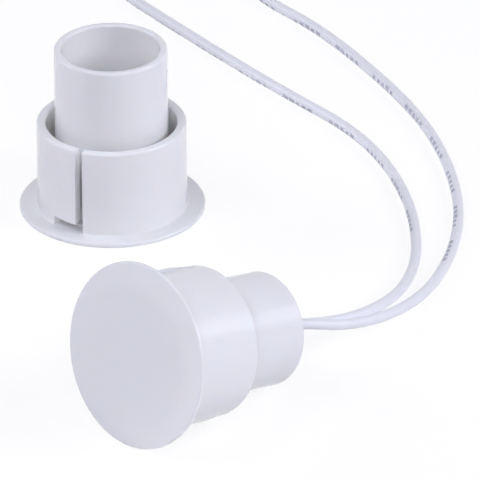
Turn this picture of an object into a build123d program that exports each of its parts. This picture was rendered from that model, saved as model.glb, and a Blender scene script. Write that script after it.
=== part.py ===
from build123d import *
from math import asin, atan2, cos, degrees, pi, radians, sin, sqrt, tan
import os

# A recessed magnetic contact, in millimetres. The magnet half stands on its face at the origin,
# with +Z along its axis. The switch half lies beside it on the same table, on the edge of its
# flange and the rim of its collar, and its two leads run over the table to their coils.
# Both halves share one collar moulding and one tube.

# Collar moulding: face disc, flange, collar wall with snap tabs, and a ring that locates the tube
collar_radius = 12.7
collar_height = 16.2
collar_wall = 1.6
collar_rim_round = 0.4
flange_radius = 15.75
flange_thickness = 0.8
flange_edge_round = 0.3
flange_root_round = 0.35
face_thickness = 1.3
locating_ring_height = 3.0
locating_ring_wall = 0.7
locating_ring_clearance = 0.05

# Snap tabs, cut free of the collar by an L: a slit beside each tab and a slot under it
tab_count = 2
tab_slit_angle = 244.0
tab_slit_width = 1.2
tab_width = 5.0
tab_slot_height = 1.55
tab_proud = 0.45
tab_lead_in_start = 11.0
tab_lead_in_end = 14.4
tab_lead_in_round = 18.0
tab_root_overlap = 5.0

# Tube, with an even gap between it and the collar
tube_gap = 1.5
tube_wall = 1.25
tube_end = 30.0
tube_rim_round = 0.45

# Magnet and the adhesive poured over it
magnet_clearance = 0.05
magnet_length = 8.0
magnet_edge = 0.4
adhesive_cover = 1.5

# Reed switch: a glass capsule beside the axis, in line with the outer lead. What it and its wires
# leave free of the tube's length is shared between the room in front of it and the lead behind it
glass_radius = 1.1
glass_wall = 0.35
glass_length = 14.0
front_clearance = 0.5
front_room_share = 0.7
glass_seal_length = 2.0
glass_end_round = 0.55
glass_cavity_round = 0.15
blade_wire_radius = 0.28
blade_thickness = 0.18
blade_width = 1.0
blade_overlap = 1.2
blade_gap = 0.1
front_loop_start = 1.2
front_loop_share = 0.9
front_tail_reach = 3.4
rear_tail_length = 2.2

# Joints between the blades' wires and the leads' stripped cores
core_radius = 0.42
core_bare_length = 2.0
joint_radius = 0.75
joint_length = 2.6
joint_round = 0.45
sleeve_wall = 0.2
sleeve_clearance = 0.03
sleeve_overlap = 1.2
sleeve_lead = 0.4

# Leads and potting
lead_diameter = 1.8
lead_spacing = 2.3
lead_seated_length = 1.4
potting_recess = 1.0
tinned_radius = 0.45
tinned_length = 6.0

# Where the switch half lies: the centre of its face over the table, the heading of its axis, the
# turn of its moulding about that axis, and the direction from the outer to the inner lead
switch_x = 4.06
switch_y = -83.1
switch_heading = 43.42
switch_turn = 1.5
lead_pair_angle = -28.0

# Each lead's length outside the potting, and the two turns that its put-away end is wound into,
# side by side, with a band round them
lead_length = 312.0
arc_share = 0.45
coil_turns = 2
turn_spacing = 1.84
coil_skin = 0.1
coil_round = 0.8
band_thickness = 0.3
band_length = 4.0
band_clearance = 0.05
outer_coil_entry = (21.0, 90.5)
inner_coil_entry = (-2.6, 91.2)

# Points of each lead's free route after its straight start, from the potting to its coil
lead_start_run = 6.0
outer_route = [
    (41.2, -52.5, 4.3),
    (51.5, -38.8, 1.6),
    (56.9, -23.0, 1.0),
    (58.9, -6.4, 0.9),
    (57.5, 9.6, 0.9),
    (54.1, 24.5, 0.9),
    (49.1, 37.3, 0.9),
    (43.4, 48.7, 0.9),
    (38.0, 58.4, 0.9),
    (32.9, 65.9, 0.9),
    (27.9, 71.8, 0.9),
    (24.3, 77.5, 0.9),
    (22.0, 84.0, 1.0),
]
inner_route = [
    (38.1, -52.1, 4.9),
    (47.0, -39.7, 2.2),
    (51.1, -25.6, 1.0),
    (51.3, -10.4, 0.9),
    (49.2, 3.5, 0.9),
    (45.0, 16.8, 0.9),
    (39.2, 27.2, 0.9),
    (31.5, 36.5, 0.9),
    (24.1, 46.0, 0.9),
    (17.0, 55.6, 0.9),
    (10.3, 64.9, 0.9),
    (4.0, 73.6, 0.9),
    (-1.0, 82.0, 1.0),
]

# Points of the short tail, from where it lies in the groove on top of the two turns, over the outer
# turn and down to the table
tail_steps = [
    (0.0, 3.8, 0.33),
    (-0.4, 7.8, -0.62),
    (-0.9, 12.0, -1.68),
    (-1.5, 15.8, -1.83),
]

# How far a cutting solid reaches past what it cuts, and how parts stand on their own base
cut_margin = 0.4
standing = (Align.CENTER, Align.CENTER, Align.MIN)

# Sizes that follow from the ones above
collar_bore = collar_radius - collar_wall
tube_radius = collar_bore - tube_gap
tube_bore = tube_radius - tube_wall
ring_outer = tube_bore - locating_ring_clearance
ring_inner = ring_outer - locating_ring_wall
magnet_radius = ring_inner - magnet_clearance
magnet_back = face_thickness + magnet_length
lead_radius = lead_diameter / 2
lead_offset = lead_spacing / 2
potting_end = tube_end - potting_recess
reed_front = front_clearance + blade_wire_radius + lead_offset + front_loop_start
reed_rear = rear_tail_length + core_bare_length + lead_seated_length
spare_length = potting_end - face_thickness - reed_front - glass_length - reed_rear
glass_start = face_thickness + reed_front + front_room_share * spare_length
glass_end = glass_start + glass_length
front_tail_end = glass_start + front_tail_reach
sleeve_bore = lead_radius + sleeve_clearance
rear_joint_start = glass_end + rear_tail_length - joint_length / 2
rear_core_start = rear_joint_start + joint_length / 2
front_core_start = front_tail_end
front_joint_start = front_tail_end - joint_length / 2
front_insulation = front_core_start + core_bare_length
rear_insulation = rear_core_start + core_bare_length
front_sleeve = (front_joint_start - sleeve_lead, front_insulation + sleeve_overlap)
rear_sleeve = (rear_joint_start - sleeve_lead, rear_insulation + sleeve_overlap)
front_loop_radius = front_loop_share * lead_offset
turn_height = band_thickness + lead_radius
groove_height = turn_height + sqrt(lead_diameter ** 2 - (turn_spacing / 2) ** 2)
coil_half_width = (coil_turns - 1) * turn_spacing / 2 + lead_radius + coil_skin


def turned(profile):
    """A solid of revolution about Z from corners given as radius, height and rounding."""
    points = [(radius, 0, height) for radius, height, rounding in profile]
    roundings = [rounding for radius, height, rounding in profile]
    outline = FilletPolyline(*points, radius=roundings, close=True)
    return revolve(make_face(outline), Axis.Z)


def ring(inner, outer, start, end):
    """A plain ring or, with no inner radius, a plain disc."""
    body = Cylinder(outer, end - start, align=standing)
    if inner > 0:
        body -= Cylinder(inner, end - start, align=standing)
    return Pos(0, 0, start) * body


def wedge(angle_from, angle_to, start, end, reach):
    """A slice of cake about Z between two angles."""
    edge = reach / cos(radians(angle_to - angle_from) / 2)
    corners = [(0, 0), (edge * cos(radians(angle_from)), edge * sin(radians(angle_from))),
               (edge * cos(radians(angle_to)), edge * sin(radians(angle_to)))]
    return Pos(0, 0, start) * extrude(make_face(Polyline(*corners, close=True)), end - start)


def tab_hinge_angle(slit_angle):
    """Where the slot under a tab ends, so that the tab hangs on the wall from there on."""
    return slit_angle - degrees((tab_slit_width / 2 + tab_width) / collar_radius)


def barb(slit_angle):
    """The outer skin of one snap tab: flush at its hinge and at the rim, proud at its free foot."""
    hinge_angle = tab_hinge_angle(slit_angle)
    shift = tab_proud / sin(radians(slit_angle - hinge_angle))
    slot_top = flange_thickness + tab_slot_height
    mid_wall = collar_radius - collar_wall / 2
    lead_in_slope = (tab_lead_in_end - tab_lead_in_start) / tab_proud
    skin_top = tab_lead_in_end + lead_in_slope * collar_wall / 2
    skin = turned([
        (mid_wall, slot_top, 0),
        (collar_radius + tab_proud, slot_top, 0),
        (collar_radius + tab_proud, tab_lead_in_start, tab_lead_in_round),
        (mid_wall, skin_top, 0),
    ])
    skin = skin & ring(0, collar_radius + tab_proud + cut_margin, 0, collar_height - collar_rim_round)
    lean = Pos(shift * cos(radians(hinge_angle + 90)), shift * sin(radians(hinge_angle + 90)), 0)
    leaning_wall = lean * ring(0, collar_radius, 0, collar_height)
    slice_start = hinge_angle - tab_root_overlap
    slice_of_wall = wedge(slice_start, slit_angle, slot_top, collar_height, 2 * collar_radius)
    return skin & leaning_wall & slice_of_wall


def collar_moulding():
    """Face disc, flange, collar wall, snap tabs and locating ring as one piece."""
    body = turned([
        (0, 0, 0),
        (flange_radius, 0, flange_edge_round),
        (flange_radius, flange_thickness, flange_edge_round),
        (collar_radius, flange_thickness, flange_root_round),
        (collar_radius, collar_height, collar_rim_round),
        (collar_bore, collar_height, collar_rim_round),
        (collar_bore, face_thickness, flange_root_round),
        (ring_outer, face_thickness, 0),
        (ring_outer, face_thickness + locating_ring_height, 0),
        (ring_inner, face_thickness + locating_ring_height, 0),
        (ring_inner, face_thickness, 0),
        (0, face_thickness, 0),
    ])
    wall_inside = collar_bore - cut_margin
    wall_outside = flange_radius + cut_margin
    for number in range(tab_count):
        slit_angle = tab_slit_angle + number * 360 / tab_count
        hinge_angle = tab_hinge_angle(slit_angle)
        body += barb(slit_angle)
        slit_height = collar_height - flange_thickness + cut_margin
        slit = Box(wall_outside - wall_inside, tab_slit_width, slit_height,
                   align=(Align.MIN, Align.CENTER, Align.MIN))
        body -= Rot(Z=slit_angle) * Pos(wall_inside, 0, flange_thickness) * slit
        slot = ring(wall_inside, wall_outside, flange_thickness, flange_thickness + tab_slot_height)
        body -= slot & wedge(hinge_angle, slit_angle, 0, collar_height, 2 * flange_radius)
    return body


def tube():
    """The plain tube, seated on the face disc's inner side round the locating ring."""
    return turned([
        (tube_bore, face_thickness, 0),
        (tube_radius, face_thickness, 0),
        (tube_radius, tube_end, tube_rim_round),
        (tube_bore, tube_end, tube_rim_round),
    ])


def magnet():
    """A round magnet that stands on the face disc inside the locating ring."""
    return turned([
        (0, face_thickness, 0),
        (magnet_radius, face_thickness, magnet_edge),
        (magnet_radius, magnet_back, magnet_edge),
        (0, magnet_back, 0),
    ])


def magnet_adhesive(magnet_body):
    """Adhesive that fills the tube round the magnet's upper part and covers it."""
    start = face_thickness + locating_ring_height
    return ring(0, tube_bore, start, magnet_back + adhesive_cover) - magnet_body


def glass_outline():
    """The outer form of the glass capsule."""
    return turned([
        (0, glass_start, 0),
        (glass_radius, glass_start, glass_end_round),
        (glass_radius, glass_end, glass_end_round),
        (0, glass_end, 0),
    ])


def glass_capsule():
    """A drawn glass tube with both ends melted round the blades' wires."""
    cavity_radius = glass_radius - glass_wall
    cavity = turned([
        (0, glass_start + glass_seal_length, 0),
        (cavity_radius, glass_start + glass_seal_length, glass_cavity_round),
        (cavity_radius, glass_end - glass_seal_length, glass_cavity_round),
        (0, glass_end - glass_seal_length, 0),
    ])
    wires = ring(0, blade_wire_radius, glass_start - cut_margin, glass_end + cut_margin)
    return glass_outline() - cavity - wires


def blade(inner_end, seal_end, side):
    """The flattened contact blade inside the glass, on one side of the capsule's axis."""
    low = min(inner_end, seal_end)
    high = max(inner_end, seal_end)
    middle = side * (blade_gap + blade_thickness) / 2
    return Pos(middle, 0, low) * Box(blade_thickness, blade_width, high - low, align=standing)


def rod(points, radii, radius):
    """A round wire along straight runs joined by arcs."""
    path = FilletPolyline(*points, radius=radii) if len(points) > 2 else Line(*points)
    start = path @ 0
    heading = path % 0
    return sweep(Plane(origin=start, z_dir=heading) * Circle(radius), path=path)


def front_blade():
    """The front blade. Its wire leaves the glass, turns back and runs beside the capsule."""
    middle_of_overlap = (glass_start + glass_end) / 2
    contact = blade(middle_of_overlap + blade_overlap / 2, glass_start + glass_seal_length, 1)
    turn_height = glass_start - front_loop_start - lead_offset
    points = [(0, 0, glass_start + glass_seal_length), (0, 0, turn_height),
              (lead_spacing, 0, turn_height), (lead_spacing, 0, front_tail_end)]
    return contact + rod(points, [front_loop_radius, front_loop_radius], blade_wire_radius)


def rear_blade():
    """The rear blade. Its wire runs straight back to the outer lead's core."""
    middle_of_overlap = (glass_start + glass_end) / 2
    contact = blade(middle_of_overlap - blade_overlap / 2, glass_end - glass_seal_length, -1)
    points = [(0, 0, glass_end - glass_seal_length), (0, 0, rear_core_start)]
    return contact + rod(points, [], blade_wire_radius)


def joint(start):
    """A bead of solder round the end of a blade's wire and the end of a stripped core."""
    return turned([
        (0, start, 0),
        (joint_radius, start, joint_round),
        (joint_radius, start + joint_length, joint_round),
        (0, start + joint_length, 0),
    ])


def sleeve(start, end):
    """A shrink sleeve over a joint and the first of the lead's insulation."""
    return ring(sleeve_bore, sleeve_bore + sleeve_wall, start, end)


def smooth_radii(points):
    """The largest arc that the two runs at each corner allow."""
    radii = []
    for before, corner, after in zip(points, points[1:], points[2:]):
        arriving = Vector(*corner) - Vector(*before)
        leaving = Vector(*after) - Vector(*corner)
        half_turn = radians(arriving.get_angle(leaving)) / 2
        radii.append(arc_share * min(arriving.length, leaving.length) / tan(half_turn))
    return radii


def lead_tube(points):
    """A free stretch of lead as a tube along straight runs and arcs, and its length."""
    radii = smooth_radii(points)
    path = FilletPolyline(*points, radius=radii)
    body = rod(points, radii, lead_radius)
    expected = pi * lead_radius ** 2 * path.length
    runs = [(Vector(*b) - Vector(*a)).length for a, b in zip(points, points[1:])]
    print("  runs", [round(run, 1) for run in runs])
    print("  radii", [round(radius, 1) for radius in radii])
    print("  length", round(path.length, 1), "volume ratio", round(body.volume / expected, 4))
    return body, path.length


def coil_section(coil_radius, grow):
    """The section of a coil's turns, larger on each side and the top by what the band needs."""
    half_width = coil_half_width + grow
    top = turn_height + lead_radius + coil_skin + grow
    low_left = (coil_radius - half_width, 0, band_thickness)
    corners = [low_left, (coil_radius + half_width, 0, band_thickness),
               (coil_radius + half_width, 0, top), (coil_radius - half_width, 0, top)]
    return make_face(FilletPolyline(*corners, radius=[coil_round] * 4, close=True))


def coil(coil_radius):
    """The turns of lead as one closed ring about Z."""
    return revolve(coil_section(coil_radius, 0), Axis.Z)


def coil_band(coil_radius):
    """A band round the coil's section, on its far side, with its lower run on the table."""
    half_width = coil_half_width + band_clearance + band_thickness
    top = turn_height + lead_radius + coil_skin + band_clearance + band_thickness
    corners = [(coil_radius - half_width, 0, 0), (coil_radius + half_width, 0, 0),
               (coil_radius + half_width, 0, top), (coil_radius - half_width, 0, top)]
    outside = make_face(FilletPolyline(*corners, radius=[coil_round + band_thickness] * 4, close=True))
    section = outside - coil_section(coil_radius, band_clearance)
    band_angle = degrees(band_length / coil_radius)
    return Rot(Z=-band_angle / 2) * revolve(section, Axis.Z, revolution_arc=band_angle)


def free_lead(name, place, route, entry):
    """A lead's free tube, coil, band and tinned end, and the length of it all."""
    start = (place * Pos(0, 0, potting_end)).position
    bend = (place * Pos(0, 0, potting_end + lead_start_run)).position
    mouth = (*entry, turn_height)
    print(name)
    tube_body, tube_length = lead_tube([tuple(start), tuple(bend), *route, mouth])
    tail_start = Vector(entry[0] + turn_spacing / 2, entry[1], groove_height)
    tail_points = [tuple(tail_start)]
    tail_points += [tuple(tail_start + Vector(*step)) for step in tail_steps]
    tail_body, tail_length = lead_tube(tail_points)
    coil_radius = (lead_length - tube_length - tail_length) / (2 * pi * coil_turns)
    coil_centre = Pos(entry[0] + coil_radius + turn_spacing / 2, entry[1], 0)
    ring_body = coil_centre * coil(coil_radius)
    last_run = Vector(*tail_points[-1]) - Vector(*tail_points[-2])
    end_plane = Plane(origin=tail_points[-1], z_dir=last_run)
    diameters_across = 2 * coil_radius / lead_diameter
    print("  start", start, "first bend", bend)
    print("  coil radius", round(coil_radius, 3), "or", round(diameters_across, 1), "diameters across")
    print("  tinned end at", end_plane.origin, end_plane.z_dir)
    parts[name] = (tube_body - ring_body) + (tail_body - ring_body)
    parts[name + "_coil"] = ring_body
    parts[name + "_tie"] = coil_centre * coil_band(coil_radius)
    parts[name + "_end"] = end_plane.location * ring(0, tinned_radius, 0, tinned_length)


def rounded_corner(height, radius, rounding):
    """The centre and the radius of the rounding of an outer edge, as height, radius and rounding."""
    return height - rounding, radius - rounding, rounding


# Frames: each half is made with its face on Z = 0, and the switch half is then laid down
flange_corner = rounded_corner(flange_thickness, flange_radius, flange_edge_round)
collar_corner = rounded_corner(collar_height, collar_radius, collar_rim_round)
tube_corner = rounded_corner(tube_end, tube_radius, tube_rim_round)


def resting_tilt(corner):
    """The tilt at which the flange's rounded edge and another rounded edge touch the table."""
    along = corner[0] - flange_corner[0]
    across = flange_corner[1] - corner[1]
    distance = sqrt(along ** 2 + across ** 2)
    return asin((corner[2] - flange_corner[2]) / distance) - atan2(across, along)


tilt = max(resting_tilt(collar_corner), resting_tilt(tube_corner))
heading = radians(switch_heading)
switch_z = flange_corner[2] + flange_corner[1] * cos(tilt) - flange_corner[0] * sin(tilt)
switch_axis = Vector(cos(tilt) * cos(heading), cos(tilt) * sin(heading), sin(tilt))
switch_side = Vector(0, 0, 1).cross(switch_axis).normalized()
switch_up = switch_axis.cross(switch_side)
moulding_x = switch_side * cos(radians(switch_turn)) + switch_up * sin(radians(switch_turn))
switch_plane = Plane(origin=(switch_x, switch_y, switch_z), x_dir=moulding_x, z_dir=switch_axis)
switch_place = switch_plane.location
outer_place = switch_place * Rot(Z=lead_pair_angle) * Pos(-lead_offset, 0, 0)
inner_place = switch_place * Rot(Z=lead_pair_angle) * Pos(lead_offset, 0, 0)
print("switch half: tilt", round(degrees(tilt), 4), "face", switch_plane.origin, "axis", switch_axis)

os.makedirs("parts", exist_ok=True)
parts = {}

# Magnet half
magnet_body = magnet()
parts["magnet_collar"] = collar_moulding()
parts["magnet_tube"] = tube()
parts["magnet"] = magnet_body
parts["magnet_adhesive"] = magnet_adhesive(magnet_body)

# Switch half: shells
parts["switch_collar"] = switch_place * collar_moulding()
parts["switch_tube"] = switch_place * tube()

# Switch half: reed switch and joints, made about the axis of the lead that they lie in line with
front_core = ring(0, core_radius, front_core_start, front_core_start + core_bare_length)
rear_core = ring(0, core_radius, rear_core_start, rear_core_start + core_bare_length)
front_wire = Pos(lead_spacing, 0, 0) * front_core
parts["reed_blade_front"] = outer_place * front_blade()
parts["reed_blade_rear"] = outer_place * rear_blade()
parts["reed_glass"] = outer_place * glass_capsule()
parts["outer_lead_core"] = outer_place * rear_core
parts["inner_lead_core"] = inner_place * front_core
parts["solder_joint_front"] = (inner_place * joint(front_joint_start)
                               - parts["reed_blade_front"] - parts["inner_lead_core"])
parts["solder_joint_rear"] = (outer_place * joint(rear_joint_start)
                              - parts["reed_blade_rear"] - parts["outer_lead_core"])
parts["sleeve_front"] = inner_place * sleeve(*front_sleeve)
parts["sleeve_rear"] = outer_place * sleeve(*rear_sleeve)
parts["outer_lead_potted"] = outer_place * ring(0, lead_radius, rear_insulation, potting_end)
parts["inner_lead_potted"] = inner_place * ring(0, lead_radius, front_insulation, potting_end)

# Potting: all of the tube's inside that nothing else fills, up to just inside the rim
potting = switch_place * (ring(0, ring_inner, face_thickness, face_thickness + locating_ring_height)
                          + ring(0, tube_bore, face_thickness + locating_ring_height, potting_end))
for name in ("reed_blade_front", "reed_blade_rear", "solder_joint_front", "solder_joint_rear",
             "outer_lead_core", "inner_lead_core", "outer_lead_potted", "inner_lead_potted"):
    potting -= parts[name]
potting -= outer_place * glass_outline()
sleeve_radius = sleeve_bore + sleeve_wall
potting -= inner_place * ring(0, sleeve_radius, *front_sleeve)
potting -= outer_place * ring(0, sleeve_radius, *rear_sleeve)
parts["potting"] = potting

# The two free leads
free_lead("outer_lead", outer_place, outer_route, outer_coil_entry)
free_lead("inner_lead", inner_place, inner_route, inner_coil_entry)

for name, part in parts.items():
    export_step(part, f"parts/{name}.step")
    print(name, len(part.solids()), round(part.volume, 2))
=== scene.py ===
# %% [markdown]
# A recessed magnetic contact is the small white sensor that is let into a door and its frame. One
# half holds a magnet, the other a reed switch with two leads. Both halves use the same collar, with
# a thin flange and two snap tabs. This lesson dresses the finished model of it: soft white
# mouldings, two leads with a little grey ink on them, and their tinned ends.

# %% Load the model
import math

import bmesh
import bpy
from mathutils import Matrix, Vector


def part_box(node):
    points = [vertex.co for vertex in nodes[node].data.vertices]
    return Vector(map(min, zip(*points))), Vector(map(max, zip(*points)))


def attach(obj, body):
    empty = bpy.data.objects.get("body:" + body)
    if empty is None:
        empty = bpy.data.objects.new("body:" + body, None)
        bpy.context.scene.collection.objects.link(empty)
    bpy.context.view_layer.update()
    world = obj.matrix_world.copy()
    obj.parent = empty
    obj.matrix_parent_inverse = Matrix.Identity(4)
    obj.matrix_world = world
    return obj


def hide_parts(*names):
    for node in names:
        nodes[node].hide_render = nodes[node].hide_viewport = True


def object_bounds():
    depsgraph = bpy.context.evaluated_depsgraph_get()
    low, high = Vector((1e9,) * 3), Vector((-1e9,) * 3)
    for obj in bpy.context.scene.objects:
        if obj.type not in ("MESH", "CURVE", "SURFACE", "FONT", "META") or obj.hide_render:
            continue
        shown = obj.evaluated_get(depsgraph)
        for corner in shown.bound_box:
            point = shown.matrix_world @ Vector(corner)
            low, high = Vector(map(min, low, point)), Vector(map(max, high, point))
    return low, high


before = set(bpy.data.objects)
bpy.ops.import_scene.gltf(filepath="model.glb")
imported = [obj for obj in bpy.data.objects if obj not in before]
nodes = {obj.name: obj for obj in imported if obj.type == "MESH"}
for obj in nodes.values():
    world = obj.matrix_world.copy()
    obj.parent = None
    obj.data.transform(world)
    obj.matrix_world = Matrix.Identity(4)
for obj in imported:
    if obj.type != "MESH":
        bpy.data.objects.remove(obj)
cad_low, cad_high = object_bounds()
mm = 0.001
print("nodes", len(nodes), "box", [round(c / mm, 1) for c in (*cad_low, *cad_high)])


def put_in_scene(name, data):
    """A new object that shows some data, linked to the scene."""
    thing = bpy.data.objects.new(name, data)
    bpy.context.scene.collection.objects.link(thing)
    return thing


# %% [markdown]
# The camera comes first, because every later choice is judged through it. The photograph was taken
# from about 28 degrees above the table with a long lens, so that both halves show with almost no
# perspective. A point on the table, a distance, a height angle and a small roll say this in plain
# terms. The lens follows from the focal length in pixels of a 480 pixel picture.

# %% Camera
picture_px = 480
focal_px = 20142
sensor_mm = 36
camera_aim = Vector((21.515, -13.087, 0)) * mm
camera_distance = 3.4
camera_height_angle = math.radians(27.842)
camera_roll = math.radians(-0.577)
nearest_seen = 0.1
farthest_seen = 20

camera_data = bpy.data.cameras.new("camera")
camera_data.sensor_width = sensor_mm
camera_data.lens = focal_px / picture_px * sensor_mm
camera_data.clip_start = nearest_seen
camera_data.clip_end = farthest_seen
camera = put_in_scene("camera", camera_data)
bpy.context.scene.camera = camera

forward = Vector((0, math.cos(camera_height_angle), -math.sin(camera_height_angle)))
level_right = Vector((1, 0, 0))
level_up = level_right.cross(forward)
right = level_right * math.cos(camera_roll) + level_up * math.sin(camera_roll)
up = level_up * math.cos(camera_roll) - level_right * math.sin(camera_roll)
turn = Matrix((right, up, -forward)).transposed().to_4x4()
camera.matrix_world = Matrix.Translation(camera_aim - forward * camera_distance) @ turn


def pixel_of(point):
    """Where a point of the model falls in the 480 pixel picture."""
    seen = camera.matrix_world.inverted() @ Vector(point)
    return (picture_px / 2 + focal_px * seen.x / -seen.z,
            picture_px / 2 - focal_px * seen.y / -seen.z)


print("magnet half's face centre is at pixel", [round(c, 1) for c in pixel_of((0, 0, 0))])

# %% [markdown]
# White plastic on a white table is all about soft light. Four soft lamps stand round the model, each
# about 1.2 metres away: the strongest on the right, one on the left, one in front and one high on the
# left. A fifth, small and faint, stands where its mirror image falls as the pale stripe along the
# lying half. The table and the world show as white to the eye of the camera and in gloss and glass.
# The world adds almost no light of its own, and the table still takes a soft shadow.

# %% Light and table
bpy.context.scene.view_settings.view_transform = "Standard"
model_middle = (cad_low + cad_high) / 2
plain_white = (1, 1, 1, 1)
cool_white = (0.872, 0.872, 1.0)
wide = 0.6
narrow = 0.38
# Each lamp has a name, a place and a size in metres, and a power in watts.
lamps = [
    ("right_lamp", (1.046, -0.274, 0.662), wide, 7.7),
    ("front_lamp", (0.022, -1.06, 0.662), wide, 4.45),
    ("high_left_lamp", (-0.552, -0.331, 1.06), wide, 4.2),
    ("left_lamp", (-1.002, 0.274, 0.662), wide, 4.1),
    ("stripe_lamp", (1.168, 0.196, 0.458), narrow, 0.7),
]
for lamp_name, lamp_place, lamp_size, watts in lamps:
    lamp_data = bpy.data.lights.new(lamp_name, "AREA")
    lamp_data.shape = "SQUARE"
    lamp_data.size = lamp_size
    lamp_data.energy = watts
    lamp_data.color = cool_white
    lamp = put_in_scene(lamp_name, lamp_data)
    lamp.location = lamp_place
    to_model = model_middle - Vector(lamp_place)
    lamp.rotation_euler = to_model.to_track_quat("-Z", "Y").to_euler()


def add_node(tree, kind, **values):
    """A new node with the values of its named inputs."""
    node = tree.nodes.new(kind)
    for name, value in values.items():
        node.inputs[name.replace("_", " ")].default_value = value
    return node


def calc(tree, operation, first, second=None, third=None):
    """The result of a math node on sockets or numbers."""
    node = tree.nodes.new("ShaderNodeMath")
    node.operation = operation
    for place, value in enumerate((first, second, third)):
        if isinstance(value, (int, float)):
            node.inputs[place].default_value = value
        elif value is not None:
            tree.links.new(value, node.inputs[place])
    return node.outputs[0]


def show_white(tree, lit, white, white_share, output):
    """The lit shader, with a share of white for rays of the camera, of gloss and of glass."""
    rays = tree.nodes.new("ShaderNodeLightPath").outputs
    direct = calc(tree, "MAXIMUM", rays["Is Camera Ray"], rays["Is Glossy Ray"])
    shown = calc(tree, "MAXIMUM", direct, rays["Is Transmission Ray"])
    mix = tree.nodes.new("ShaderNodeMixShader")
    tree.links.new(calc(tree, "MULTIPLY", shown, white_share), mix.inputs["Fac"])
    tree.links.new(lit.outputs[0], mix.inputs[1])
    tree.links.new(white.outputs[0], mix.inputs[2])
    tree.links.new(mix.outputs[0], output.inputs["Surface"])


room_level = 0.03
world = bpy.data.worlds.new("white room")
bpy.context.scene.world = world
world.use_nodes = True
room_tree = world.node_tree
room_tree.nodes.clear()
room_light = add_node(room_tree, "ShaderNodeBackground", Color=(*cool_white, 1), Strength=room_level)
room_white = add_node(room_tree, "ShaderNodeBackground", Color=plain_white, Strength=1.0)
show_white(room_tree, room_light, room_white, 1.0, room_tree.nodes.new("ShaderNodeOutputWorld"))

table_size = 6.0
table_drop = 0.02 * mm
table_pale = (0.86, 0.86, 0.86, 1)
table_white_level = 1.15
table_white_share = 0.72
table_material = bpy.data.materials.new("white table")
table_material.use_nodes = True
table_tree = table_material.node_tree
table_tree.nodes.clear()
table_paint = add_node(table_tree, "ShaderNodeBsdfDiffuse", Color=table_pale)
table_white = add_node(table_tree, "ShaderNodeEmission", Color=plain_white, Strength=table_white_level)
show_white(table_tree, table_paint, table_white, table_white_share,
           table_tree.nodes.new("ShaderNodeOutputMaterial"))

half_table = table_size / 2
table_corners = [(-half_table, -half_table, 0), (half_table, -half_table, 0),
                 (half_table, half_table, 0), (-half_table, half_table, 0)]
table_mesh = bpy.data.meshes.new("table")
table_mesh.from_pydata(table_corners, [], [(0, 1, 2, 3)])
table_mesh.materials.append(table_material)
table = put_in_scene("table", table_mesh)
table.location = (model_middle.x, model_middle.y, -table_drop)

# %% [markdown]
# A moulded part isn't one flat colour. The pigment is a little uneven, the tool leaves a very fine
# grain, and the gloss is not the same all over. The same three effects are on the mouldings, the
# cast filling and the lead insulation, so they are one group of shader nodes, and each material sets
# its own strengths. The group reads Object coordinates, because every piece keeps its place in its
# mesh.

# %% A group for a moulded or cast skin
def new_group(name, inputs):
    """An empty shader group with named inputs and a skin's outputs, and its two end nodes."""
    group = bpy.data.node_groups.new(name, "ShaderNodeTree")
    kinds = {"colour": "NodeSocketColor", "value": "NodeSocketFloat", "vector": "NodeSocketVector"}
    for socket_name, kind, default in inputs:
        socket = group.interface.new_socket(socket_name, in_out="INPUT", socket_type=kinds[kind])
        socket.default_value = default
    for socket_name, kind in (("Colour", "colour"), ("Roughness", "value"), ("Normal", "vector")):
        group.interface.new_socket(socket_name, in_out="OUTPUT", socket_type=kinds[kind])
    return group, group.nodes.new("NodeGroupInput").outputs, group.nodes.new("NodeGroupOutput").inputs


def end_skin(group, start, end, colour_share, other_colour, patches, relief, relief_depth, relief_height):
    """The common end of both skins: two colours blended, uneven gloss and a bump."""
    # Inputs 6 and 7 and output 2 are a Mix node's sockets for colours.
    blend = add_node(group, "ShaderNodeMix")
    blend.data_type = "RGBA"
    bump = add_node(group, "ShaderNodeBump", Distance=relief_height)
    gloss = calc(group, "MULTIPLY_ADD", patches, start["Roughness Spread"], start["Roughness"])
    link = group.links.new
    link(colour_share, blend.inputs[0])
    link(start["Colour"], blend.inputs[6])
    link(start[other_colour], blend.inputs[7])
    link(relief, bump.inputs["Height"])
    link(start[relief_depth], bump.inputs["Strength"])
    link(blend.outputs[2], end["Colour"])
    link(gloss, end["Roughness"])
    link(bump.outputs["Normal"], end["Normal"])


def make_skin_group():
    """Pigment clouds, fine grain and uneven gloss."""
    grain_height = 0.03 * mm
    group, start, end = new_group("moulded skin", [
        ("Colour", "colour", (0.7, 0.7, 0.7, 1)), ("Cloud Colour", "colour", (0.6, 0.6, 0.6, 1)),
        ("Cloud Scale", "value", 120.0), ("Cloud Amount", "value", 0.4),
        ("Grain Scale", "value", 5000.0), ("Grain Depth", "value", 0.05),
        ("Roughness", "value", 0.4), ("Roughness Spread", "value", 0.1)])
    place = add_node(group, "ShaderNodeTexCoord").outputs["Object"]
    clouds = add_node(group, "ShaderNodeTexNoise", Detail=3.0, Roughness=0.55)
    grain = add_node(group, "ShaderNodeTexNoise", Detail=2.0, Roughness=0.5)
    for noise, scale in ((clouds, "Cloud Scale"), (grain, "Grain Scale")):
        group.links.new(place, noise.inputs["Vector"])
        group.links.new(start[scale], noise.inputs["Scale"])
    cloud_share = calc(group, "MULTIPLY", clouds.outputs["Fac"], start["Cloud Amount"])
    end_skin(group, start, end, cloud_share, "Cloud Colour", clouds.outputs["Fac"],
             grain.outputs["Fac"], "Grain Depth", grain_height)
    return group


skin_group = make_skin_group()
print("skin group has", len(skin_group.nodes), "nodes")

# %% [markdown]
# Metal wire, a plated magnet and solder have another skin: fine lines drawn along the work and small
# dull patches. A stretched noise makes the lines. The direction in which it is stretched is an
# input, so that each material can lay it along its own part.

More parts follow.
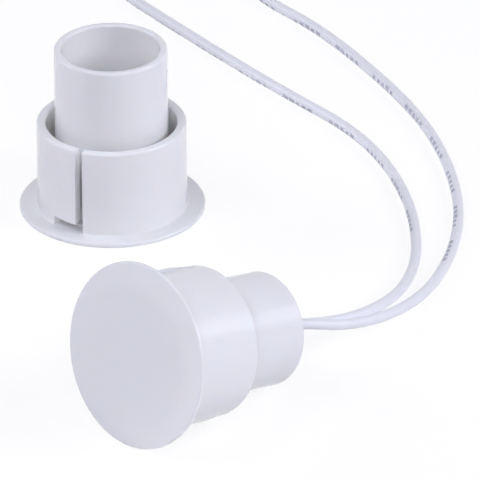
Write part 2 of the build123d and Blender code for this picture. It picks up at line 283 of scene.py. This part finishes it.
# %% A group for drawn metal
def make_metal_group():
    """Fine drawn lines and dull patches."""
    line_height = 0.02 * mm
    group, start, end = new_group("drawn metal", [
        ("Colour", "colour", (0.6, 0.6, 0.6, 1)), ("Dull Colour", "colour", (0.4, 0.4, 0.4, 1)),
        ("Stretch", "vector", (1.0, 1.0, 0.05)), ("Line Scale", "value", 4000.0),
        ("Line Depth", "value", 0.1), ("Roughness", "value", 0.3),
        ("Roughness Spread", "value", 0.2)])
    place = add_node(group, "ShaderNodeTexCoord").outputs["Object"]
    stretch = add_node(group, "ShaderNodeVectorMath")
    stretch.operation = "MULTIPLY"
    lines = add_node(group, "ShaderNodeTexNoise", Detail=2.0, Roughness=0.6)
    patches = add_node(group, "ShaderNodeTexNoise", Scale=900.0, Detail=2.0, Roughness=0.6)
    link = group.links.new
    link(place, stretch.inputs[0])
    link(start["Stretch"], stretch.inputs[1])
    link(stretch.outputs[0], lines.inputs["Vector"])
    link(start["Line Scale"], lines.inputs["Scale"])
    link(place, patches.inputs["Vector"])
    end_skin(group, start, end, patches.outputs["Fac"], "Dull Colour", patches.outputs["Fac"],
             lines.outputs["Fac"], "Line Depth", line_height)
    return group


metal_group = make_metal_group()

# %% [markdown]
# The mouldings are a glossy white plastic that lets a little light in, and the lead insulation is a
# softer, bluer white. Light that enters such a plastic comes out about a millimetre away, which
# softens the edges of its shades, so both have subsurface scattering with a short reach. A surface
# that only reflects would look like painted metal. The pieces inside get their true metals, glass
# and resins. Colours are written as they look on a screen, because that is how they are judged.

# %% Materials from the groups
def linear(red, green, blue):
    """A colour as it is seen on a screen, in parts of 255, as linear light."""
    parts = []
    for part in (red, green, blue):
        share = part / 255
        parts.append(share / 12.92 if share <= 0.04045 else ((share + 0.055) / 1.055) ** 2.4)
    return (*parts, 1)


def new_finish(name, group, group_values, shader_values):
    """A material whose Principled shader takes colour, roughness and normal from a group."""
    material = bpy.data.materials.new(name)
    material.use_nodes = True
    tree = material.node_tree
    shader = tree.nodes["Principled BSDF"]
    skin = tree.nodes.new("ShaderNodeGroup")
    skin.node_tree = group
    for socket, value in group_values.items():
        skin.inputs[socket].default_value = value
    for socket, value in shader_values.items():
        shader.inputs[socket].default_value = value
    for output, socket in (("Colour", "Base Color"), ("Roughness", "Roughness"), ("Normal", "Normal")):
        tree.links.new(skin.outputs[output], shader.inputs[socket])
    return material


white_moulding = new_finish(
    "white moulding", skin_group,
    {"Colour": linear(250, 250, 248), "Cloud Colour": linear(248, 248, 246), "Cloud Scale": 90.0,
     "Cloud Amount": 0.6, "Grain Scale": 4000.0, "Grain Depth": 0.04, "Roughness": 0.12,
     "Roughness Spread": 0.06},
    {"IOR": 1.5, "Subsurface Weight": 0.6, "Subsurface Radius": (1.0, 0.88, 0.78),
     "Subsurface Scale": 0.0014})
lead_insulation = new_finish(
    "lead insulation", skin_group,
    {"Colour": linear(249, 250, 255), "Cloud Colour": linear(245, 247, 254), "Cloud Scale": 160.0,
     "Cloud Amount": 0.7, "Grain Scale": 3000.0, "Grain Depth": 0.02, "Roughness": 0.30,
     "Roughness Spread": 0.10},
    {"IOR": 1.5, "Subsurface Weight": 0.5, "Subsurface Radius": (0.9, 0.95, 1.0),
     "Subsurface Scale": 0.0006})
cast_filling = new_finish(
    "cast filling", skin_group,
    {"Colour": linear(224, 225, 226), "Cloud Colour": linear(208, 208, 206), "Cloud Scale": 350.0,
     "Cloud Amount": 0.9, "Grain Scale": 1500.0, "Grain Depth": 0.2, "Roughness": 0.2,
     "Roughness Spread": 0.15},
    {"IOR": 1.52})
adhesive = new_finish(
    "poured adhesive", skin_group,
    {"Colour": linear(222, 222, 214), "Cloud Colour": linear(204, 203, 192), "Cloud Scale": 260.0,
     "Cloud Amount": 0.9, "Grain Scale": 900.0, "Grain Depth": 0.4, "Roughness": 0.32,
     "Roughness Spread": 0.3},
    {"IOR": 1.48})
band_plastic = new_finish(
    "band", skin_group,
    {"Colour": linear(230, 231, 235), "Cloud Colour": linear(222, 223, 228), "Cloud Scale": 400.0,
     "Cloud Amount": 0.7, "Grain Scale": 3500.0, "Grain Depth": 0.3, "Roughness": 0.5,
     "Roughness Spread": 0.2},
    {"IOR": 1.48})
black_sleeve = new_finish(
    "black sleeve", skin_group,
    {"Colour": linear(34, 34, 36), "Cloud Colour": linear(48, 48, 50), "Cloud Scale": 500.0,
     "Cloud Amount": 0.6, "Grain Scale": 3500.0, "Grain Depth": 0.3, "Roughness": 0.42,
     "Roughness Spread": 0.2},
    {"IOR": 1.5})
nickel_plate = new_finish(
    "nickel plate", metal_group,
    {"Colour": linear(214, 210, 202), "Dull Colour": linear(188, 184, 176),
     "Stretch": (1.0, 1.0, 0.08), "Line Scale": 3000.0, "Line Depth": 0.1, "Roughness": 0.18,
     "Roughness Spread": 0.2},
    {"Metallic": 1.0})
reed_metal = new_finish(
    "reed metal", metal_group,
    {"Colour": linear(196, 192, 186), "Dull Colour": linear(164, 160, 154),
     "Stretch": (1.0, 1.0, 0.2), "Line Scale": 6000.0, "Line Depth": 0.2, "Roughness": 0.3,
     "Roughness Spread": 0.2},
    {"Metallic": 1.0})
tinned_metal = new_finish(
    "tinned metal", metal_group,
    {"Colour": linear(206, 208, 210), "Dull Colour": linear(168, 170, 172),
     "Stretch": (1.0, 0.2, 1.0), "Line Scale": 5000.0, "Line Depth": 0.2, "Roughness": 0.24,
     "Roughness Spread": 0.25},
    {"Metallic": 1.0})
bare_copper = new_finish(
    "bare copper", metal_group,
    {"Colour": linear(214, 150, 112), "Dull Colour": linear(176, 108, 74),
     "Stretch": (1.0, 0.2, 1.0), "Line Scale": 6000.0, "Line Depth": 0.2, "Roughness": 0.3,
     "Roughness Spread": 0.2},
    {"Metallic": 1.0})
clear_glass = new_finish(
    "drawn glass", skin_group,
    {"Colour": linear(222, 238, 230), "Cloud Colour": linear(212, 232, 222), "Cloud Scale": 300.0,
     "Cloud Amount": 0.4, "Grain Scale": 900.0, "Grain Depth": 0.02, "Roughness": 0.02,
     "Roughness Spread": 0.03},
    {"IOR": 1.5, "Transmission Weight": 1.0})
ink = new_finish(
    "grey ink", skin_group,
    {"Colour": linear(136, 138, 154), "Cloud Colour": linear(242, 243, 251), "Cloud Scale": 2400.0,
     "Cloud Amount": 1.0, "Grain Scale": 6000.0, "Grain Depth": 0.1, "Roughness": 0.45,
     "Roughness Spread": 0.1},
    {"IOR": 1.45})

node_finishes = {
    "magnet_collar": white_moulding, "magnet_tube": white_moulding, "magnet": nickel_plate,
    "magnet_adhesive": adhesive, "switch_collar": white_moulding, "switch_tube": white_moulding,
    "reed_glass": clear_glass, "reed_blade_front": reed_metal, "reed_blade_rear": reed_metal,
    "solder_joint_front": tinned_metal, "solder_joint_rear": tinned_metal,
    "sleeve_front": black_sleeve, "sleeve_rear": black_sleeve,
    "outer_lead_core": bare_copper, "inner_lead_core": bare_copper,
    "outer_lead_potted": lead_insulation, "inner_lead_potted": lead_insulation,
    "potting": cast_filling, "outer_lead_tie": band_plastic, "inner_lead_tie": band_plastic,
}
for node_name, finish in node_finishes.items():
    for material_slot in nodes[node_name].material_slots:
        material_slot.material = finish
print("finished nodes", len(node_finishes))

# %% [markdown]
# The two leads are thin PVC-covered wires, 1.8 mm across and about 312 mm long from the cast filling.
# About half of each shows. They leave the tube together, dip to the table, sweep round to the right
# and run back out of the picture. The rest is put away in a small coil of two turns beyond the view.
# A lead is one smooth NURBS curve through listed control points, with its thickness from the
# curve's own bevel. A modelled tube would need many more faces and would look stiffer.

# %% Routes of the leads
lead_diameter = 1.8
lead_radius = lead_diameter / 2
turn_spacing = 1.84
turn_height = 1.2
points_per_turn = 15
# Each change in a coil is spread over these degrees of turning from its entry.
second_turn_moves_in = (290, 350)
tail_moves_out = (660, 740)
tail_climbs = (625, 690)
tail_settles = (690, 720)
outer_route = [
    (25.50, -64.23, 10.39), (29.77, -60.19, 9.21), (41.2, -52.5, 4.3), (51.5, -38.8, 1.6),
    (56.9, -23.0, 1.0), (58.9, -6.4, 0.9), (57.5, 9.6, 0.9), (54.1, 24.5, 0.9),
    (49.1, 37.3, 0.9), (43.4, 48.7, 0.9), (38.0, 58.4, 0.9), (32.9, 65.9, 0.9),
    (27.9, 71.8, 0.9), (24.3, 77.5, 0.9), (22.0, 84.0, 1.0), (21.0, 90.5, 1.2),
]
inner_route = [
    (23.94, -62.87, 9.38), (28.21, -58.83, 8.21), (38.1, -52.1, 4.9), (47.0, -39.7, 2.2),
    (51.1, -25.6, 1.0), (51.3, -10.4, 0.9), (49.2, 3.5, 0.9), (45.0, 16.8, 0.9),
    (39.2, 27.2, 0.9), (31.5, 36.5, 0.9), (24.1, 46.0, 0.9), (17.0, 55.6, 0.9),
    (10.3, 64.9, 0.9), (4.0, 73.6, 0.9), (-1.0, 82.0, 1.0), (-2.6, 91.2, 1.2),
]
outer_coil_radius = 9.476
inner_coil_radius = 9.178
tail_steps = [(0.0, 3.8, 0.4), (-0.4, 7.8, -0.5), (-0.9, 12.0, -1.68), (-1.5, 15.8, -1.83)]


def eased(value, start, end):
    """0 before start, 1 after end, and a smooth rise between them."""
    share = min(max((value - start) / (end - start), 0), 1)
    return share * share * (3 - 2 * share)


def coil_points(entry, radius):
    """Two turns side by side from the entry, the second inside the first, ending on top of both."""
    outer_radius = radius + turn_spacing / 2
    groove_rise = math.sqrt(lead_diameter ** 2 - (turn_spacing / 2) ** 2)
    crossing_rise = lead_diameter
    step = 360 / points_per_turn
    chord_share = math.cos(math.radians(step / 2))
    points = []
    for number in range(1, 2 * points_per_turn):
        turned = number * step
        inward = eased(turned, *second_turn_moves_in) - eased(turned, *tail_moves_out) / 2
        rise = crossing_rise * eased(turned, *tail_climbs)
        rise -= (crossing_rise - groove_rise) * eased(turned, *tail_settles)
        reach = (outer_radius - turn_spacing * inward) / chord_share
        angle = math.radians(180 - turned)
        points.append((entry[0] + outer_radius + reach * math.cos(angle),
                       entry[1] + reach * math.sin(angle), turn_height + rise))
    tail_start = (entry[0] + turn_spacing / 2, entry[1], turn_height + groove_rise)
    points.append(tail_start)
    for step_x, step_y, step_z in tail_steps:
        points.append((tail_start[0] + step_x, tail_start[1] + step_y, tail_start[2] + step_z))
    return points


# %% [markdown]
# A lead bends evenly and never kinks. A curve of order 3 stays close to its points and gives such
# even bends, and its ends are held, so that each lead starts just where it leaves the filling. The
# same curve without thickness is read back as a plain line, because the ink is laid out along it.

# %% The leads as curves
steps_per_point = 8
steps_per_quarter = 6


def lead_curve(name, points, radius):
    """A NURBS curve object through control points in millimetres, with a round section if wanted."""
    curve = bpy.data.curves.new(name, "CURVE")
    curve.dimensions = "3D"
    curve.resolution_u = steps_per_point
    curve.bevel_depth = radius * mm
    curve.bevel_resolution = steps_per_quarter
    curve.use_fill_caps = True
    spline = curve.splines.new("NURBS")
    spline.points.add(len(points) - 1)
    for spline_point, point in zip(spline.points, points):
        spline_point.co = (*[part * mm for part in point], 1)
    spline.order_u = 3
    spline.use_endpoint_u = True
    spline.use_smooth = True
    return put_in_scene(name, curve)


def taken_mesh(thing):
    """The plain mesh that an object shows, taken in its place."""
    seen = thing.evaluated_get(bpy.context.evaluated_depsgraph_get())
    result = bpy.data.meshes.new_from_object(seen)
    bpy.data.objects.remove(thing)
    return result


lead_routes = {
    "outer_lead": outer_route + coil_points(outer_route[-1], outer_coil_radius),
    "inner_lead": inner_route + coil_points(inner_route[-1], inner_coil_radius),
}
leads = {}
lead_lines = {}
for lead_name, route in lead_routes.items():
    lead = lead_curve(lead_name + "_cable", route, lead_radius)
    lead.data.materials.append(lead_insulation)
    leads[lead_name] = lead
    lead_lines[lead_name] = taken_mesh(lead_curve(lead_name + "_line", route, 0))
    corners = [vertex.co for vertex in lead_lines[lead_name].vertices]
    measured = sum((b - a).length for a, b in zip(corners, corners[1:]))
    print(lead_name, "is", round(measured / mm, 1), "mm long over", len(corners), "points")

# %% [markdown]
# Each lead ends stripped: seven fine copper strands, twisted together and tinned. Six strands wind
# round a straight one, which is a rule, so Geometry Nodes build it: a spiral curve gets thickness,
# and copies of it are turned about the middle strand. The tree ends with real geometry, because
# instances would be lost on export.

# %% A tree for twisted strands
def new_tree(name, inputs):
    """An empty geometry tree with named inputs beside its geometry, and its input node's sockets."""
    tree = bpy.data.node_groups.new(name, "GeometryNodeTree")
    kinds = {"length": "NodeSocketFloat", "count": "NodeSocketInt", "material": "NodeSocketMaterial"}
    tree.interface.new_socket("Geometry", in_out="INPUT", socket_type="NodeSocketGeometry")
    sockets = {}
    for socket_name, kind, default in inputs:
        socket = tree.interface.new_socket(socket_name, in_out="INPUT", socket_type=kinds[kind])
        if default is not None:
            socket.default_value = default
        sockets[socket_name] = socket.identifier
    tree.interface.new_socket("Geometry", in_out="OUTPUT", socket_type="NodeSocketGeometry")
    return tree, tree.nodes.new("NodeGroupInput").outputs, sockets


def end_tree(tree, geometry, finish):
    """Ends a tree: its copies become real geometry and get their finish."""
    real = tree.nodes.new("GeometryNodeRealizeInstances")
    dressed = tree.nodes.new("GeometryNodeSetMaterial")
    end = tree.nodes.new("NodeGroupOutput")
    tree.links.new(geometry, real.inputs["Geometry"])
    tree.links.new(real.outputs["Geometry"], dressed.inputs["Geometry"])
    tree.links.new(finish, dressed.inputs["Material"])
    tree.links.new(dressed.outputs["Geometry"], end.inputs["Geometry"])


def make_strand_tree():
    """Strands in a spiral round one straight strand, along Z."""
    spiral_steps = 24
    strand_sides = 10
    tree, start, sockets = new_tree("twisted strands", [
        ("Length", "length", 0.006), ("Strand Radius", "length", 0.00015), ("Strands", "count", 6),
        ("Twists", "length", 1.5), ("Finish", "material", None)])
    link = tree.links.new
    spiral = add_node(tree, "GeometryNodeCurveSpiral", Resolution=spiral_steps)
    middle = add_node(tree, "GeometryNodeCurvePrimitiveLine")
    middle_end = add_node(tree, "ShaderNodeCombineXYZ")
    section = add_node(tree, "GeometryNodeCurvePrimitiveCircle", Resolution=strand_sides)
    wound = add_node(tree, "GeometryNodeCurveToMesh", Fill_Caps=True)
    straight = add_node(tree, "GeometryNodeCurveToMesh", Fill_Caps=True)
    seats = add_node(tree, "GeometryNodePoints")
    number = add_node(tree, "GeometryNodeInputIndex")
    turned = add_node(tree, "ShaderNodeCombineXYZ")
    copies = add_node(tree, "GeometryNodeInstanceOnPoints")
    together = add_node(tree, "GeometryNodeJoinGeometry")
    spiral_radius = calc(tree, "MULTIPLY", start["Strand Radius"], 2)
    share = calc(tree, "DIVIDE", number.outputs[0], start["Strands"])
    link(start["Twists"], spiral.inputs["Rotations"])
    link(spiral_radius, spiral.inputs["Start Radius"])
    link(spiral_radius, spiral.inputs["End Radius"])
    link(start["Length"], spiral.inputs["Height"])
    link(start["Length"], middle_end.inputs["Z"])
    link(middle_end.outputs[0], middle.inputs["End"])
    link(start["Strand Radius"], section.inputs["Radius"])
    for strand, line in ((wound, spiral), (straight, middle)):
        link(line.outputs["Curve"], strand.inputs["Curve"])
        link(section.outputs["Curve"], strand.inputs["Profile Curve"])
    link(start["Strands"], seats.inputs["Count"])
    link(calc(tree, "MULTIPLY", share, math.tau), turned.inputs["Z"])
    link(seats.outputs[0], copies.inputs["Points"])
    link(wound.outputs["Mesh"], copies.inputs["Instance"])
    link(turned.outputs[0], copies.inputs["Rotation"])
    link(copies.outputs["Instances"], together.inputs[0])
    link(straight.outputs["Mesh"], together.inputs[0])
    end_tree(tree, together.outputs[0], start["Finish"])
    return tree, sockets


strand_tree, strand_sockets = make_strand_tree()


def grown_mesh(name, source_mesh, tree, sockets, values):
    """The plain mesh that a tree with these input values makes from a source mesh."""
    carrier = put_in_scene(name, source_mesh)
    modifier = carrier.modifiers.new("tree", "NODES")
    modifier.node_group = tree
    for socket_name, value in values.items():
        modifier[sockets[socket_name]] = value
    result = taken_mesh(carrier)
    result.name = name
    return result


# %% [markdown]
# The stripped end is 6 mm long, as a screw terminal wants it. The strands are grown once for each
# lead, stood on the lead's last point and turned along its last stretch. Kept as a plain mesh, they
# look the same in every program.

# %% The tinned ends
def facing(direction):
    """The turn that lays Z along a direction."""
    return direction.to_track_quat("Z", "Y").to_matrix().to_4x4()


strand_values = {"Length": 6.0 * mm, "Strand Radius": 0.15 * mm, "Strands": 6, "Twists": 1.5,
                 "Finish": tinned_metal}
lead_ends = {}
for lead_name, route in lead_routes.items():
    last, before = Vector(route[-1]) * mm, Vector(route[-2]) * mm
    strands = grown_mesh(lead_name + "_strands", bpy.data.meshes.new("empty"), strand_tree,
                         strand_sockets, strand_values)
    strands.transform(Matrix.Translation(last) @ facing((last - before).normalized()))
    strands.polygons.foreach_set("use_smooth", [True] * len(strands.polygons))
    lead_ends[lead_name] = put_in_scene(lead_name + "_strands", strands)
    print(lead_name, "ends in", len(strands.polygons), "faces of strands")

# %% [markdown]
# Wire is printed along its length in a soft grey ink that wears and spreads on the round insulation.
# Here the print is plain dashes in groups of five. Drawn in the material, it would need a map of the
# whole lead. The dashes follow the lead, so Geometry Nodes place them: points at measured lengths
# along the line, and a small patch on each, bent to the lead's roundness and turned with the line.
# The row winds slowly round the lead, as print does on a wire that is twisted a little. A fixed seed
# decides each dash's length and how far it sits off the middle of the row.

# %% A tree for the ink dashes
def make_ink_tree():
    """Groups of short curved dashes along a line, on one side of a round lead."""
    ink_height = 0.008 * mm
    points_along = 3
    points_across = 7
    shortest_share = 0.5
    tree, start, sockets = new_tree("ink dashes", [
        ("Lead Radius", "length", 0.0009), ("First", "length", 0.02), ("Groups", "count", 5),
        ("Group Pitch", "length", 0.013), ("Dashes", "count", 5), ("Dash Pitch", "length", 0.0016),
        ("Dash Length", "length", 0.001), ("Dash Width", "length", 0.0007),
        ("Side Angle", "length", 0.3), ("Twist", "length", -14.0), ("Side Spread", "length", 0.1),
        ("Seed", "count", 3), ("Finish", "material", None)])
    link = tree.links.new

    def dice(lowest, highest):
        """A random number for each dash, from the node's sockets for plain numbers."""
        node = add_node(tree, "FunctionNodeRandomValue")
        node.data_type = "FLOAT"
        node.inputs[2].default_value = lowest
        node.inputs[3].default_value = highest
        link(start["Seed"], node.inputs["Seed"])
        return node.outputs[1]

    # How far along the lead each dash sits.
    number = add_node(tree, "GeometryNodeInputIndex").outputs[0]
    group_number = calc(tree, "FLOOR", calc(tree, "DIVIDE", number, start["Dashes"]))
    dash_number = calc(tree, "MODULO", number, start["Dashes"])
    group_run = calc(tree, "MULTIPLY", group_number, start["Group Pitch"])
    dash_run = calc(tree, "MULTIPLY", dash_number, start["Dash Pitch"])
    run = calc(tree, "ADD", calc(tree, "ADD", group_run, dash_run), start["First"])

    # Its place on the lead's middle line.
    curve = add_node(tree, "GeometryNodeMeshToCurve")
    sample = add_node(tree, "GeometryNodeSampleCurve")
    sample.mode = "LENGTH"
    seats = add_node(tree, "GeometryNodePoints")
    placed = add_node(tree, "GeometryNodeSetPosition")
    link(start["Geometry"], curve.inputs["Mesh"])
    link(curve.outputs["Curve"], sample.inputs["Curves"])
    link(run, sample.inputs["Length"])
    link(calc(tree, "MULTIPLY", start["Groups"], start["Dashes"]), seats.inputs["Count"])
    link(seats.outputs[0], placed.inputs["Geometry"])
    link(sample.outputs["Position"], placed.inputs["Position"])

    # Its turn: along the lead, from the top of it, round to the side that is printed.
    along = add_node(tree, "FunctionNodeAlignRotationToVector")
    along.axis = "Z"
    upward = add_node(tree, "FunctionNodeAlignRotationToVector", Vector=(0, 0, 1))
    upward.axis = "X"
    upward.pivot_axis = "Z"
    own_turn = add_node(tree, "FunctionNodeRotateRotation")
    own_turn.rotation_space = "LOCAL"
    turn_angles = add_node(tree, "ShaderNodeCombineXYZ")
    side_shift = calc(tree, "MULTIPLY", dice(-1.0, 1.0), start["Side Spread"])
    side_now = calc(tree, "ADD", calc(tree, "MULTIPLY", run, start["Twist"]), start["Side Angle"])
    link(sample.outputs["Tangent"], along.inputs["Vector"])
    link(along.outputs[0], upward.inputs["Rotation"])
    link(calc(tree, "ADD", side_now, side_shift), turn_angles.inputs["Z"])
    link(upward.outputs[0], own_turn.inputs["Rotation"])
    link(turn_angles.outputs[0], own_turn.inputs["Rotate By"])

    # The patch itself, bent round the lead just above its skin.
    patch = add_node(tree, "GeometryNodeMeshGrid", Vertices_X=points_along, Vertices_Y=points_across)
    bend = add_node(tree, "GeometryNodeSetPosition")
    flat_place = add_node(tree, "GeometryNodeInputPosition")
    flat_parts = add_node(tree, "ShaderNodeSeparateXYZ")
    bent_parts = add_node(tree, "ShaderNodeCombineXYZ")
    ink_radius = calc(tree, "ADD", start["Lead Radius"], ink_height)
    link(start["Dash Length"], patch.inputs["Size X"])
    link(start["Dash Width"], patch.inputs["Size Y"])
    link(patch.outputs["Mesh"], bend.inputs["Geometry"])
    link(flat_place.outputs[0], flat_parts.inputs[0])
    arc = calc(tree, "DIVIDE", flat_parts.outputs["Y"], start["Lead Radius"])
    for part, wave in (("X", "COSINE"), ("Y", "SINE")):
        link(calc(tree, "MULTIPLY", ink_radius, calc(tree, wave, arc)), bent_parts.inputs[part])
    link(flat_parts.outputs["X"], bent_parts.inputs["Z"])
    link(bent_parts.outputs[0], bend.inputs["Position"])

    # One copy for each seat, with its own length.
    copies = add_node(tree, "GeometryNodeInstanceOnPoints")
    scale = add_node(tree, "ShaderNodeCombineXYZ", X=1.0, Y=1.0)
    link(placed.outputs["Geometry"], copies.inputs["Points"])
    link(bend.outputs["Geometry"], copies.inputs["Instance"])
    link(own_turn.outputs[0], copies.inputs["Rotation"])
    link(dice(shortest_share, 1.0), scale.inputs["Z"])
    link(scale.outputs[0], copies.inputs["Scale"])
    end_tree(tree, copies.outputs["Instances"], start["Finish"])
    return tree, sockets


ink_tree, ink_sockets = make_ink_tree()

# %% [markdown]
# Both leads are cut from one reel, so they carry the same row. Only where its first group falls,
# the spacing of the groups and the side on which it shows were read for each lead by itself.

# %% The ink on the two leads
ink_values = {"Lead Radius": lead_radius * mm, "Twist": -14.0, "Groups": 19, "Dashes": 5,
              "Dash Pitch": 1.65 * mm, "Dash Length": 1.3 * mm, "Dash Width": 0.68 * mm,
              "Side Spread": 0.12, "Seed": 3, "Finish": ink}
own_values = {
    "outer_lead": {"First": 52.6 * mm, "Group Pitch": 12.95 * mm, "Side Angle": 0.35},
    "inner_lead": {"First": 61.2 * mm, "Group Pitch": 12.4 * mm, "Side Angle": -0.26},
}
ink_pieces = {}
for lead_name, line in lead_lines.items():
    dashes = grown_mesh(lead_name + "_ink", line, ink_tree, ink_sockets,
                        ink_values | own_values[lead_name])
    ink_pieces[lead_name] = put_in_scene(lead_name + "_ink", dashes)
    print(lead_name, "has", len(dashes.polygons), "faces of ink")

# %% [markdown]
# Resin and adhesive are poured, so they creep up every wall that they wet and set with a hollow rim.
# The CAD solids end flat. A thin turned ring with a hollow slope makes the rim: one where the
# adhesive meets the magnet half's tube, one where the filling meets the switch half's tube, and one
# round each lead. One turned outline with its own radii serves all four.

# %% Rims of the poured pieces
rim_steps = 72
slope_steps = 7
foot_depth = 0.03 * mm
wall_gap = 0.01 * mm


def poured_rim(name, place, wall, reach, rise, finish):
    """A ring with a hollow slope against a round wall. A negative reach grows it outwards."""
    inner, gap = wall - reach, math.copysign(wall_gap, reach)
    outline = [(inner, -foot_depth)]
    for step in range(slope_steps + 1):
        angle = math.pi / 2 * step / slope_steps
        outline.append((inner + (reach - gap) * math.sin(angle), rise * (1 - math.cos(angle))))
    outline.append((wall - gap, -foot_depth))
    mesh = bmesh.new()
    loops = []
    for number in range(rim_steps):
        angle = math.tau * number / rim_steps
        loops.append([mesh.verts.new((radius * math.cos(angle), radius * math.sin(angle), height))
                      for radius, height in outline])
    first_of_slope, last_of_slope, last = 1, slope_steps + 1, slope_steps + 2
    for one, two in zip(loops, loops[1:] + loops[:1]):
        for here in range(len(outline)):
            there = (here + 1) % len(outline)
            face = mesh.faces.new((one[here], two[here], two[there], one[there]))
            face.smooth = first_of_slope <= here < last_of_slope
    for corner in (0, first_of_slope, last_of_slope, last):
        for one, two in zip(loops, loops[1:] + loops[:1]):
            mesh.edges.get((one[corner], two[corner])).smooth = False
    bmesh.ops.recalc_face_normals(mesh, faces=mesh.faces)
    mesh.transform(place)
    ring = bpy.data.meshes.new(name)
    mesh.to_mesh(ring)
    mesh.free()
    ring.materials.append(finish)
    return put_in_scene(name, ring)


tube_bore = 8.35
filling_depth = 29.0
switch_face = Vector((4.06, -83.1, 15.55))
switch_axis = Vector((0.712337, 0.674095, -0.195379))
filling_middle = switch_face + switch_axis * filling_depth
adhesive_middle = Vector((0, 0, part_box("magnet_adhesive")[1].z / mm))
upright, lying = Matrix.Identity(4), facing(switch_axis)
# Each rim has the middle and turn of its ring, the wall's radius, its reach, its rise and a finish.
rim_plan = {
    "adhesive_rim": (adhesive_middle, upright, tube_bore, 0.9, 0.55, adhesive),
    "filling_rim": (filling_middle, lying, tube_bore, 0.8, 0.45, cast_filling),
}
for lead_name, route in lead_routes.items():
    rim_plan[lead_name + "_rim"] = (Vector(route[0]), lying, lead_radius, -0.45, 0.4, cast_filling)
rims = {}
for rim_name, (middle, ring_turn, wall, reach, rise, finish) in rim_plan.items():
    place = Matrix.Translation(middle * mm) @ ring_turn
    rims[rim_name] = poured_rim(rim_name, place, wall * mm, reach * mm, rise * mm, finish)
print("poured rims", list(rims), "adhesive at", round(adhesive_middle.z, 2), "mm")

# %% [markdown]
# Every new piece now says what it rides on. There are no joints, so all of them ride on the one body,
# and the lead pieces of the model that they replace are hidden.

for rim_name, rim in rims.items():
    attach(rim, "root")
for lead_name, lead in leads.items():
    end_piece = lead_ends[lead_name]
    ink_piece = ink_pieces[lead_name]
    for piece in (lead, end_piece, ink_piece):
        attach(piece, "root")
    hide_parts(lead_name, lead_name + "_coil")
    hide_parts(lead_name + "_end")
